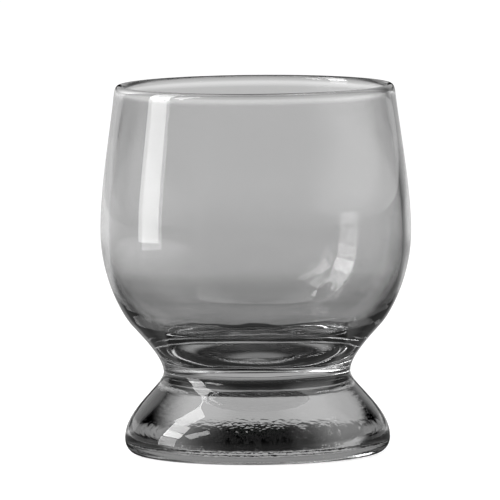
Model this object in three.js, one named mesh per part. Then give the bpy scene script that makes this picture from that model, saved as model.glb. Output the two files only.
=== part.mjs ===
// A small vodka glass: one piece of grey-tinted glass, a round bowl on a thick solid foot.
// Millimetres, +Z up. The origin is the middle of the circle that the foot rests on.
// The whole outline is drawn once, as half a section (r outwards, z up), and turned about Z.
import * as THREE from 'three';

// Outside
const height = 60; // from the table to the top of the rim
const bellyRadius = 25.3; // widest part of the bowl
const bellyHeight = 36.2;
const flankInset = 4.7; // in from the belly, where the bowl's underside turns from hollow to round
const flankHeight = 21.3;
const flankSlope = 50.4; // degrees above level
const waistRadius = 15.2; // narrowest part, between bowl and foot
const waistHeight = 13.2;
const footRadius = 21.6; // widest part of the foot
const footHeight = 2.5; // height of that widest part
const rimInset = 2.4; // in from the belly, outside, where the rounding of the rim starts

// Walls and bottom
const rimWall = 1.5;
const bellyWall = 1.4;
const flankWall = 1.5; // square to the glass, beside the flank
const bottomHeight = 16.1; // inner bottom of the bowl, above the table
const bottomRadius = 7.2; // the level part of the inner bottom

// Rim rounding
const crestInset = 0.9; // how far the top of the rim lies inside the outer wall
const outerRounding = 1.5; // height of the rounding, outside and inside
const innerRounding = 1.3;

// Underside: a level ring to stand on, round a shallow hollow
const restInset = 2.15; // the ring's outer edge, in from the widest part of the foot
const restWidth = 1.95;
const hollowDepth = 1;

const turns = 72; // flat facets round the glass

const toRadians = Math.PI / 180;

// A point of the outline: radius, height, and the way the outline runs there in degrees
// (0 runs outwards, 90 runs up).
const anchor = (r, z, slope) => ({ r, z, slope: slope * toRadians });

// A smooth curve between two anchors. Each pull says how long the curve keeps to the direction
// of that end, as a share of the straight distance between the two. A curve that runs down or
// inwards uses the anchors' directions turned round.
function sweep(from, fromPull, to, toPull, way = 1) {
  const span = Math.hypot(to.r - from.r, to.z - from.z) * way;
  return new THREE.CubicBezierCurve(
    new THREE.Vector2(from.r, from.z),
    new THREE.Vector2(
      from.r + Math.cos(from.slope) * fromPull * span,
      from.z + Math.sin(from.slope) * fromPull * span,
    ),
    new THREE.Vector2(
      to.r - Math.cos(to.slope) * toPull * span,
      to.z - Math.sin(to.slope) * toPull * span,
    ),
    new THREE.Vector2(to.r, to.z),
  );
}

const straight = (from, to) => new THREE.LineCurve(
  new THREE.Vector2(from.r, from.z),
  new THREE.Vector2(to.r, to.z),
);

// The underside, from the axis outwards
const restRadius = footRadius - restInset;
const hollowTop = anchor(0, hollowDepth, 0);
const ringInside = anchor(restRadius - restWidth, 0, 0);
const ringOutside = anchor(restRadius, 0, 0);

// The outside, going up
const flankRadius = bellyRadius - flankInset;
const rimRadius = bellyRadius - rimInset;
const foot = anchor(footRadius, footHeight, 90);
const waist = anchor(waistRadius, waistHeight, 90);
const flank = anchor(flankRadius, flankHeight, flankSlope);
const belly = anchor(bellyRadius, bellyHeight, 90);

// Near the rim the wall leans in a little more than the straight line from the belly does
const leanGain = 1.2;
const shoulderHeight = height - outerRounding;
const lean = Math.atan2(bellyRadius - rimRadius, shoulderHeight - bellyHeight) / toRadians * leanGain;
const shoulder = anchor(rimRadius, shoulderHeight, 90 + lean);
const crest = anchor(rimRadius - crestInset, height, 180);

// The inside, going down: directions still point up the wall, so these curves run backwards
const innerRim = anchor(rimRadius - rimWall, height - innerRounding, 90 + lean);
const innerBelly = anchor(bellyRadius - bellyWall, bellyHeight, 90);
const innerFlank = anchor(
  flankRadius - flankWall * Math.sin(flank.slope),
  flankHeight + flankWall * Math.cos(flank.slope),
  flankSlope,
);
const bottomEdge = anchor(bottomRadius, bottomHeight, 0);
const bottomMiddle = anchor(0, bottomHeight, 0);

// The closed half section, each stretch with the number of steps that its bend needs
const outline = [
  [sweep(hollowTop, 0.77, ringInside, 0.15), 6],
  [straight(ringInside, ringOutside), 1],
  [new THREE.EllipseCurve(restRadius, footHeight, restInset, footHeight, -Math.PI / 2, 0), 5],
  [sweep(foot, 0.37, waist, 0.17), 9],
  [sweep(waist, 0.27, flank, 0.22), 7],
  [sweep(flank, 0.14, belly, 0.47), 7],
  [sweep(belly, 0.31, shoulder, 0.27), 4],
  [sweep(shoulder, 0.4, crest, 0.4), 4],
  [sweep(crest, 0.4, anchor(innerRim.r, innerRim.z, 270 + lean), 0.4), 4],
  [sweep(innerRim, 0.27, innerBelly, 0.31, -1), 4],
  [sweep(innerBelly, 0.38, innerFlank, 0.38, -1), 7],
  [sweep(innerFlank, 0.31, bottomEdge, 0.09, -1), 7],
  [straight(bottomEdge, bottomMiddle), 1],
];
const section = outline.flatMap(([curve, steps], place) => curve.getPoints(steps).slice(place ? 1 : 0));

function turnedGlass() {
  const geometry = new THREE.LatheGeometry(section, turns);
  geometry.rotateX(Math.PI / 2); // the lathe turns about Y, the glass stands along Z
  return geometry;
}

const glass = new THREE.Mesh(
  turnedGlass(),
  new THREE.MeshStandardMaterial({
    color: new THREE.Color(0.55, 0.55, 0.56),
    roughness: 0.02,
    metalness: 0,
    transparent: true,
    opacity: 0.45,
  }),
);
glass.name = 'glass_body';

const vodkaGlass = new THREE.Group();
vodkaGlass.add(glass);

export default vodkaGlass;
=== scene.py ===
# A small vodka glass, blown in one piece of lightly smoked glass, on a plain pale floor.
import math

import bpy
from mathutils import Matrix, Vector


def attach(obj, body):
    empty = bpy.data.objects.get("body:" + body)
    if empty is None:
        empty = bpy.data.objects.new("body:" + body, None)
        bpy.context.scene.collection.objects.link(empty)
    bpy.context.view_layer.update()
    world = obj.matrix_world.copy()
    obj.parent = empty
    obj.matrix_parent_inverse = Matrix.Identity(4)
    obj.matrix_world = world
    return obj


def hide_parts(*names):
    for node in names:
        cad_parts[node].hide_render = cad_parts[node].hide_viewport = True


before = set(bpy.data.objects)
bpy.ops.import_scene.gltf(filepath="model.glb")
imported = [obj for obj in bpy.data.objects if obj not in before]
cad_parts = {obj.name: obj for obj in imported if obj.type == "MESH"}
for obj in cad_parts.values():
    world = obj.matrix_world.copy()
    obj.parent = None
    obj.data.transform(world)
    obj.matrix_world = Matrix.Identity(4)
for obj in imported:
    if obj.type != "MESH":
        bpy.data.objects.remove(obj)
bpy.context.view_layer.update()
mm = 0.001
print("frame loaded")


def deselectAll():
    if bpy.context.object and bpy.context.object.mode != "OBJECT":
        bpy.ops.object.mode_set(mode="OBJECT")
    bpy.ops.object.select_all(action="DESELECT")


# Camera: far off, in front of the glass and a little above it
cameraSetup = {
    "distance": 1.462,  # metres to the point it looks at
    "height": 5.1,  # degrees above level
    "lens": 647,  # mm
    "sensor": 36,
    "lookAt": (-0.97, 0, 32.97),  # mm
    "roll": -0.5,  # degrees
    "nearest": 0.1,  # metres
    "farthest": 20,
}


def addCamera(setup):
    target = Vector(setup["lookAt"]) * mm
    tilt = math.radians(setup["height"])
    place = target + Vector((0, -math.cos(tilt), math.sin(tilt))) * setup["distance"]
    bpy.ops.object.camera_add(location=place)
    camera = bpy.context.object
    camera.name = "camera"
    camera.rotation_euler = (target - place).to_track_quat("-Z", "Y").to_euler()
    camera.rotation_euler.rotate_axis("Z", math.radians(setup["roll"]))
    camera.data.lens = setup["lens"]
    camera.data.sensor_width = setup["sensor"]
    camera.data.clip_start = setup["nearest"]
    camera.data.clip_end = setup["farthest"]
    bpy.context.scene.camera = camera


deselectAll()
addCamera(cameraSetup)
print("camera placed")

# The glass is drawn as half a section in a Bezier curve and spun about its axis. All in mm.
glassShape = {
    "height": 60,
    "bellyRadius": 25.3,
    "bellyHeight": 36.2,
    "flankRadius": 20.6,
    "flankHeight": 21.3,
    "flankSlope": 50.4,  # degrees above level
    "waistRadius": 15.2,
    "waistHeight": 13.2,
    "footRadius": 21.6,
    "footHeight": 2.5,
    "rimRadius": 22.9,
    "rimLean": 6.5,  # degrees inwards
    "rimWall": 1.5,
    "bellyWall": 1.4,
    "flankWall": 1.5,
    "bottomHeight": 16.1,
    "bottomRadius": 7.2,
    "crestInset": 0.9,
    "outerRounding": 1.5,
    "innerRounding": 1.3,
    "restInset": 2.15,
    "restWidth": 1.95,
    "hollowDepth": 1.0,
    "handles": {  # how long the curve's handle is before and after each point
        "hollowTop": (0, 13.5),
        "ringInside": (2.7, 0.6),
        "ringOutside": (0.6, 1.19),
        "foot": (1.6, 4.66),
        "waist": (2.15, 2.63),
        "flank": (2.14, 2.19),
        "belly": (7.34, 7.05),
        "shoulder": (6.06, 0.7),
        "crest": (0.7, 0.57),
        "innerRim": (0.57, 6.1),
        "innerBelly": (7.0, 5.56),
        "innerFlank": (5.56, 4.25),
        "bottomEdge": (1.23, 2.4),
        "bottomMiddle": (2.4, 0),
    },
    "stepsPerStretch": 16,
    "stepsRound": 240,
    "mergeWithin": 0.002,
}


# Each point: how far from the axis, how high, the way the line runs there in degrees
# (0 outwards, 90 up), then its two handles. The line goes out underneath, up and back down inside.
def sectionPoints(shape):
    rest = shape["footRadius"] - shape["restInset"]
    slope = math.radians(shape["flankSlope"])
    innerFlank = (
        shape["flankRadius"] - shape["flankWall"] * math.sin(slope),
        shape["flankHeight"] + shape["flankWall"] * math.cos(slope),
    )
    points = {
        "hollowTop": (0, shape["hollowDepth"], 0),
        "ringInside": (rest - shape["restWidth"], 0, 0),
        "ringOutside": (rest, 0, 0),
        "foot": (shape["footRadius"], shape["footHeight"], 90),
        "waist": (shape["waistRadius"], shape["waistHeight"], 90),
        "flank": (shape["flankRadius"], shape["flankHeight"], shape["flankSlope"]),
        "belly": (shape["bellyRadius"], shape["bellyHeight"], 90),
        "shoulder": (shape["rimRadius"], shape["height"] - shape["outerRounding"], 90 + shape["rimLean"]),
        "crest": (shape["rimRadius"] - shape["crestInset"], shape["height"], 180),
        "innerRim": (
            shape["rimRadius"] - shape["rimWall"],
            shape["height"] - shape["innerRounding"],
            270 + shape["rimLean"],
        ),
        "innerBelly": (shape["bellyRadius"] - shape["bellyWall"], shape["bellyHeight"], 270),
        "innerFlank": (*innerFlank, 180 + shape["flankSlope"]),
        "bottomEdge": (shape["bottomRadius"], shape["bottomHeight"], 180),
        "bottomMiddle": (0, shape["bottomHeight"], 180),
    }
    return [(*point, *shape["handles"][name]) for name, point in points.items()]


def drawSection(points, steps):
    bpy.ops.curve.primitive_bezier_curve_add(location=(0, 0, 0))
    section = bpy.context.object
    section.data.resolution_u = steps
    spline = section.data.splines[0]
    spline.bezier_points.add(len(points) - len(spline.bezier_points))
    for knot, (radius, height, heading, back, ahead) in zip(spline.bezier_points, points):
        way = Vector((math.cos(math.radians(heading)), 0, math.sin(math.radians(heading))))
        spot = Vector((radius, 0, height))
        knot.handle_left_type = knot.handle_right_type = "FREE"
        knot.co = spot * mm
        knot.handle_left = (spot - way * back) * mm
        knot.handle_right = (spot + way * ahead) * mm


def makeGlass(shape):
    deselectAll()
    drawSection(sectionPoints(shape), shape["stepsPerStretch"])
    bpy.ops.object.convert(target="MESH")
    glass = bpy.context.object
    glass.name = "glass"
    bpy.ops.object.mode_set(mode="EDIT")
    bpy.ops.mesh.select_all(action="SELECT")
    bpy.ops.mesh.spin(
        steps=shape["stepsRound"], angle=2 * math.pi, center=(0, 0, 0), axis=(0, 0, 1)
    )
    bpy.ops.mesh.select_all(action="SELECT")
    bpy.ops.mesh.remove_doubles(threshold=shape["mergeWithin"] * mm)
    bpy.ops.mesh.normals_make_consistent(inside=False)
    bpy.ops.object.mode_set(mode="OBJECT")
    bpy.ops.object.shade_smooth()
    return glass


glass = makeGlass(glassShape)
print("glass spun:", len(glass.data.polygons), "faces")

# Smoked glass: the tint deepens from the bowl down to the thick foot as painted shade, standing in for
# the dimmer floor and backdrop seen through the lower glass
glassFinish = {
    "tintAndShade": {  # mm above the floor: how much light one wall lets through, less lower down as painted shade
        0: 0.57,
        16: 0.56,
        24: 0.57,
        29: 0.615,
        33: 0.64,
        37: 0.655,
        42: 0.695,
        58.1: 0.695,
        58.7: 1.0,
    },
    "ior": 1.52,
    "shade": 0.72,  # what each surface lets through to the floor
    "clearAfter": {46: 8, 54: 3},  # mm above the floor: bounces after which light passes through
    "waves": {9: 0.0, 13: 0.09, 24: 0.09, 28: 0.0},  # mm: the mould's uneven skin, by height
    "waveSize": (9, 2.4),  # mm: along the glass and up it
    "streaks": {2: 0.0, 3: 0.006, 9: 0.006, 11: 0.0},  # mm: fine upright lines round the foot
    "streakSize": (1.1, 16),
    "pits": {2: 0.024, 3: 0.0},  # mm: the rough underside
    "pitSize": (0.6, 0.6),
    "skinDetail": 1,
}


def node(tree, kind, **values):
    made = tree.nodes.new(kind)
    for name, value in values.items():
        setattr(made, name, value)
    return made


# A socket takes either a number or what another node gives
def feed(tree, socket, value):
    if isinstance(value, (int, float)):
        socket.default_value = value
    else:
        tree.links.new(value, socket)


def calculate(tree, operation, *values):
    step = node(tree, "ShaderNodeMath", operation=operation)
    for socket, value in zip(step.inputs, values):
        feed(tree, socket, value)
    return step.outputs[0]


def ramp(tree, value, low, high):
    step = node(tree, "ShaderNodeMapRange", interpolation_type="SMOOTHSTEP")
    step.inputs["From Min"].default_value = low
    step.inputs["From Max"].default_value = high
    tree.links.new(value, step.inputs["Value"])
    return step.outputs["Result"]


def blend(tree, factor, low, high):
    mixed = node(tree, "ShaderNodeMix", data_type="FLOAT")
    for name, value in (("Factor", factor), ("A", low), ("B", high)):
        feed(tree, mixed.inputs[name], value)
    return mixed.outputs["Result"]


def choose(tree, factor, first, second):
    either = node(tree, "ShaderNodeMixShader")
    for socket, value in zip(either.inputs, (factor, first.outputs[0], second.outputs[0])):
        tree.links.new(value, socket)
    return either.outputs[0]


# A value that runs smoothly from stop to stop of a dictionary, such as {height: tone}
def tones(tree, value, stops, unit=lambda place: place):
    places = sorted(stops)
    tone = stops[places[0]]
    for start, end in zip(places, places[1:]):
        tone = blend(tree, ramp(tree, value, unit(start), unit(end)), tone, stops[end])
    return tone


def toMetres(length):
    return length * mm


def grey(tone):
    return (tone, tone, tone, 1)


def roughen(tree, place, rise, finish):
    skin = None
    for size, depths in (
        (finish["waveSize"], finish["waves"]),
        (finish["streakSize"], finish["streaks"]),
        (finish["pitSize"], finish["pits"]),
    ):
        across, up = size
        stretch = node(tree, "ShaderNodeMapping")
        stretch.inputs["Scale"].default_value = (1 / across, 1 / across, 1 / up)
        tree.links.new(place, stretch.inputs["Vector"])
        grain = node(tree, "ShaderNodeTexNoise")
        grain.inputs["Scale"].default_value = 1 / mm
        grain.inputs["Detail"].default_value = finish["skinDetail"]
        tree.links.new(stretch.outputs[0], grain.inputs["Vector"])
        depth = calculate(tree, "MULTIPLY", grain.outputs["Fac"], tones(tree, rise, depths, toMetres))
        bump = node(tree, "ShaderNodeBump")
        bump.inputs["Distance"].default_value = mm
        tree.links.new(depth, bump.inputs["Height"])
        if skin:
            tree.links.new(skin, bump.inputs["Normal"])
        skin = bump.outputs["Normal"]
    return skin


def smokedGlassAndShade(finish, height):
    material = bpy.data.materials.new("smokedGlassAndShade")
    material.use_nodes = True
    tree = material.node_tree
    tree.nodes.clear()
    link = tree.links.new
    output = node(tree, "ShaderNodeOutputMaterial")
    shader = node(tree, "ShaderNodeBsdfPrincipled")
    shader.inputs["Transmission Weight"].default_value = 1
    shader.inputs["Roughness"].default_value = 0
    shader.inputs["IOR"].default_value = finish["ior"]
    place = node(tree, "ShaderNodeTexCoord").outputs["Object"]
    split = node(tree, "ShaderNodeSeparateXYZ")
    link(place, split.inputs[0])
    rise = split.outputs["Z"]
    share = node(tree, "ShaderNodeMapRange")
    share.inputs["From Max"].default_value = height * mm
    link(rise, share.inputs["Value"])
    # The ramp darkens the glass towards the foot: painted shade
    tintAndShade = node(tree, "ShaderNodeValToRGB")
    stops = tintAndShade.color_ramp.elements
    for number, (level, tone) in enumerate(sorted(finish["tintAndShade"].items())):
        stop = stops[number] if number < 2 else stops.new(1)  # a new ramp has two stops already
        stop.position = level / height
        stop.color = grey(tone)
    link(share.outputs["Result"], tintAndShade.inputs["Fac"])
    link(tintAndShade.outputs["Color"], shader.inputs["Base Color"])
    link(roughen(tree, place, rise, finish), shader.inputs["Normal"])
    # Light on its way to the floor passes straight through, and so does light that has bounced often
    light = node(tree, "ShaderNodeLightPath")
    clear = node(tree, "ShaderNodeBsdfTransparent")
    clear.inputs["Color"].default_value = grey(finish["shade"])
    limit = tones(tree, rise, finish["clearAfter"], toMetres)
    deep = calculate(tree, "GREATER_THAN", light.outputs["Ray Depth"], limit)
    straight = calculate(tree, "MAXIMUM", light.outputs["Is Shadow Ray"], deep)
    link(choose(tree, straight, shader, clear), output.inputs["Surface"])
    return material


glass.data.materials.clear()
glass.data.materials.append(smokedGlassAndShade(glassFinish, glassShape["height"]))
print("glass finished")

# The studio: a pale floor, a bright room behind a low dark gap, and a tall window on the left
studio = {
    "floorRadius": 8,  # metres
    "floorSides": 128,
    "floorDrop": 0.02,  # mm: the floor lies this much under the glass
    "floorTone": 0.8,
    "floorLift": 0.42,  # light of its own, not seen in the glass, so that the floor reads white
    "floorShadeSeen": {  # metres from the glass's axis: how bright the floor looks in the glass, with a painted shadow round the foot
        0.003: 0.34,
        0.007: 0.03,
        0.012: 0.03,
        0.0145: 0.5,
        0.017: 0.03,
        0.0285: 0.03,
        0.0305: 0.58,
        0.045: 0.68,
        0.065: 0.6,
        0.1: 0.48,
        0.16: 0.68,
        0.45: 1.0,
        0.78: 1.0,
        1.05: 0.78,
    },
    "throughOne": 0.75,  # how much of that is left where it shows through one wall only
    "oneWall": 2.5,  # bounces: fewer than this is one wall
    "frontEdge": {-0.3: 0.55, -0.14: 1.0},  # metres: the floor is darker in front of the glass
    "rightEdge": {0.1: 1.0, 0.5: 0.65},  # and to its right
    # Behind it to either side, by degrees from straight behind, lie two darker wedges of painted shade
    "rightShadeWedge": {22: 1.0, 36: 0.25, 60: 0.25, 85: 1.0},
    "leftShadeWedge": {32: 1.0, 42: 0.3, 60: 0.3, 85: 1.0},
    "leftShadeWedgeEnd": {0.13: 0.0, 0.24: 1.0},  # metres: the left one fades out
    "poolPlace": (-0.33, -0.03, 0),  # metres: the window's light on the floor
    "poolTone": {0.12: 1.8, 0.3: 0.0},
    "roomLight": 1.0,
    # How bright the room looks in the glass, by degrees above level
    "panel": {27: 0.85, 29.5: 0.05, 50: 0.05, 65: 1.5},
    "flank": {0: 0.65, 4: 0.6, 6: 0.0, 25: 0.0, 35: 0.7, 50: 1.8},
    "left": {0: 0.9, 5: 0.9, 8: 0.2, 16: 0.2, 28: 0.8, 42: 1.6, 56: 2.8},
    "right": {0: 0.6, 5: 1.2, 8: 1.2, 12: 0.4, 28: 1.2, 42: 1.8, 56: 2.8},
    "before": {0: 0.4, 5: 0.4, 26: 0.03, 50: 0.03, 75: 0.6},
    # Under the panel: a bright strip at the floor's end, then the gap, by degrees above level
    "horizon": 0.78,
    "horizonEnd": (0.9, 1.0),
    "gapEnd": (5.5, 5.9),
    "gap": {8: 0.0, 14: 0.05, 28: 0.35},  # by degrees to either side
    # Where one side of the room runs into the next, in degrees from straight behind
    "panelRight": (22, 38),
    "panelLeft": (-36, -44),
    "rightStart": (62, 72),
    "leftStart": (-62, -72),
    "frontStart": (95, 150),
    "windowTurn": -96,
    "windowAway": 0.3,  # metres
    "windowPanes": [  # mm: middle towards the back and up, width, height; degrees of lean; brightness
        (0, 51, 104, 93, 0, 4.4),
        (-6, 137, 112, 66, 0, 12),
        (2, 216, 116, 92, 8, 8),
        (22, 357, 108, 220, -6, 6),
        (-150, 222, 60, 200, -31, 6),
    ],
}


# How bright the floor looks in the glass, all painted: a painted shadow darker round the foot, where the
# glass stands, and brightest in a painted pool of the window's light
def paintedFloorInGlass(tree, light, setup):
    place = node(tree, "ShaderNodeTexCoord").outputs["Object"]
    far = node(tree, "ShaderNodeVectorMath", operation="LENGTH")
    tree.links.new(place, far.inputs[0])
    split = node(tree, "ShaderNodeSeparateXYZ")
    tree.links.new(place, split.inputs[0])
    turn = calculate(tree, "ARCTAN2", split.outputs["X"], split.outputs["Y"])
    back = calculate(tree, "MULTIPLY", turn, -1)
    # Two wedges of painted shade behind the glass
    leftShadeWedge = tones(tree, back, setup["leftShadeWedge"], math.radians)
    leftShadeWedgeEnd = tones(tree, far.outputs["Value"], setup["leftShadeWedgeEnd"])
    tone = tones(tree, far.outputs["Value"], setup["floorShadeSeen"])
    for shade in (
        tones(tree, split.outputs["Y"], setup["frontEdge"]),
        tones(tree, split.outputs["X"], setup["rightEdge"]),
        tones(tree, turn, setup["rightShadeWedge"], math.radians),
        blend(tree, leftShadeWedgeEnd, leftShadeWedge, 1),
    ):
        tone = calculate(tree, "MULTIPLY", tone, shade)
    # A painted pool of the window's light
    pool = node(tree, "ShaderNodeVectorMath", operation="DISTANCE")
    tree.links.new(place, pool.inputs[0])
    pool.inputs[1].default_value = setup["poolPlace"]
    tone = calculate(tree, "MAXIMUM", tone, tones(tree, pool.outputs["Value"], setup["poolTone"]))
    deep = calculate(tree, "GREATER_THAN", light.outputs["Ray Depth"], setup["oneWall"])
    return calculate(tree, "MULTIPLY", tone, blend(tree, deep, setup["throughOne"], 1))


def addFloor(setup):
    deselectAll()
    bpy.ops.mesh.primitive_circle_add(
        vertices=setup["floorSides"],
        radius=setup["floorRadius"],
        fill_type="NGON",
        location=(0, 0, -setup["floorDrop"] * mm),
    )
    floor = bpy.context.object
    floor.name = "floor"
    material = bpy.data.materials.new("paleFloor")
    material.use_nodes = True
    tree = material.node_tree
    tree.nodes.clear()
    link = tree.links.new
    output = node(tree, "ShaderNodeOutputMaterial")
    paint = node(tree, "ShaderNodeBsdfDiffuse")
    paint.inputs["Color"].default_value = grey(setup["floorTone"])
    lift = node(tree, "ShaderNodeEmission")
    lift.inputs["Strength"].default_value = setup["floorLift"]
    lit = node(tree, "ShaderNodeAddShader")
    link(paint.outputs[0], lit.inputs[0])
    link(lift.outputs[0], lit.inputs[1])
    light = node(tree, "ShaderNodeLightPath")
    # What the glass shows of the floor is this emission, with its painted shadow and painted pool of
    # light
    seen = node(tree, "ShaderNodeEmission")
    link(paintedFloorInGlass(tree, light, setup), seen.inputs["Strength"])
    link(choose(tree, light.outputs["Is Glossy Ray"], lit, seen), output.inputs["Surface"])
    floor.data.materials.append(material)


def addRoom(setup):
    world = bpy.data.worlds.new("room")
    bpy.context.scene.world = world
    world.use_nodes = True
    tree = world.node_tree
    tree.nodes.clear()
    link = tree.links.new
    output = node(tree, "ShaderNodeOutputWorld")
    split = node(tree, "ShaderNodeSeparateXYZ")
    link(node(tree, "ShaderNodeTexCoord").outputs["Generated"], split.inputs[0])
    rise = split.outputs["Z"]
    turn = calculate(tree, "ARCTAN2", split.outputs["X"], split.outputs["Y"])
    about = calculate(tree, "ABSOLUTE", turn)

    def high(degrees):
        return math.sin(math.radians(degrees))

    def upwards(name):
        return ramp(tree, rise, *(high(degrees) for degrees in setup[name]))

    def sideways(side, name):
        return ramp(tree, side, *(math.radians(degrees) for degrees in setup[name]))

    def risen(name):
        return tones(tree, rise, setup[name], high)

    # A lit panel behind over a low dark gap, dark flanks, soft light to the sides and overhead
    gap = tones(tree, about, setup["gap"], math.radians)
    tone = blend(tree, upwards("horizonEnd"), setup["horizon"], gap)
    tone = blend(tree, upwards("gapEnd"), tone, risen("panel"))
    flank = risen("flank")
    tone = blend(tree, sideways(turn, "panelRight"), tone, flank)
    tone = blend(tree, sideways(turn, "panelLeft"), tone, flank)
    tone = blend(tree, sideways(turn, "rightStart"), tone, risen("right"))
    tone = blend(tree, sideways(turn, "leftStart"), tone, risen("left"))
    tone = blend(tree, sideways(about, "frontStart"), tone, risen("before"))
    seen = node(tree, "ShaderNodeBackground")
    link(tone, seen.inputs["Strength"])
    plain = node(tree, "ShaderNodeBackground")
    plain.inputs["Strength"].default_value = setup["roomLight"]
    light = node(tree, "ShaderNodeLightPath")
    link(choose(tree, light.outputs["Is Glossy Ray"], plain, seen), output.inputs["Surface"])


def addWindow(setup):
    turn = math.radians(setup["windowTurn"])
    side = Vector((math.cos(turn), -math.sin(turn), 0))
    wall = Vector((math.sin(turn), math.cos(turn), 0)) * setup["windowAway"]
    for number, (along, up, wide, tall, lean, tone) in enumerate(setup["windowPanes"]):
        place = wall + side * along * mm + Vector((0, 0, up)) * mm
        bpy.ops.object.light_add(type="AREA", location=place)
        pane = bpy.context.object
        pane.name = "window" + str(number + 1)
        pane.rotation_euler = (-wall).to_track_quat("-Z", "Y").to_euler()
        pane.rotation_euler.rotate_axis("Z", math.radians(lean))
        pane.data.shape = "RECTANGLE"
        pane.data.size = wide * mm
        pane.data.size_y = tall * mm
        pane.data.energy = tone * math.pi * wide * tall * mm * mm
        pane.visible_camera = False


addFloor(studio)
addRoom(studio)
addWindow(studio)
bpy.context.scene.view_settings.view_transform = "Standard"
print("studio built")

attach(glass, "root")
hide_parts("glass_body")
